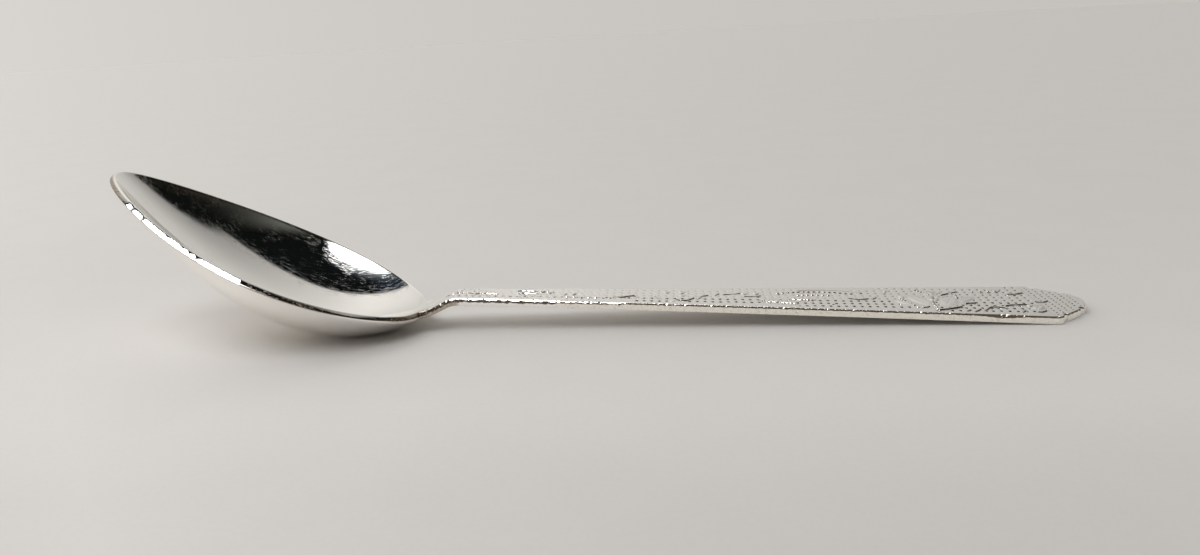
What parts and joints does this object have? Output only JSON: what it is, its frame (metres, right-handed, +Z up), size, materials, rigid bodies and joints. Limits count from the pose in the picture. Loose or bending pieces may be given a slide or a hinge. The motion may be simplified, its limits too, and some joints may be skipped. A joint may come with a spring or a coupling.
{
  "type": "teaspoon",
  "caption": "Polished silver teaspoon with a deep egg-shaped bowl, a cranked neck and a flat flaring handle that has a dotted floral pattern and a scalloped end.",
  "frame": {"origin": "centre of the spoon's footprint on the table: midway between the bowl's tip and the handle's end, on the spoon's centre line, at the height of the table it stands on", "axes": "+X along the spoon from the bowl towards the handle's end, +Y across it, +Z up out of the open bowl"},
  "size_m": [0.135, 0.0272, 0.0251],
  "materials": {
    "silver": "polished silver with fine wear scratches"
  },
  "bodies": {
    "root": {"bowl": "silver", "neck": "silver", "stem": "silver", "handle_end": "silver", "vine": "silver", "leaves": "silver", "flower": "silver", "berries": "silver"}
  },
  "joints": []
}
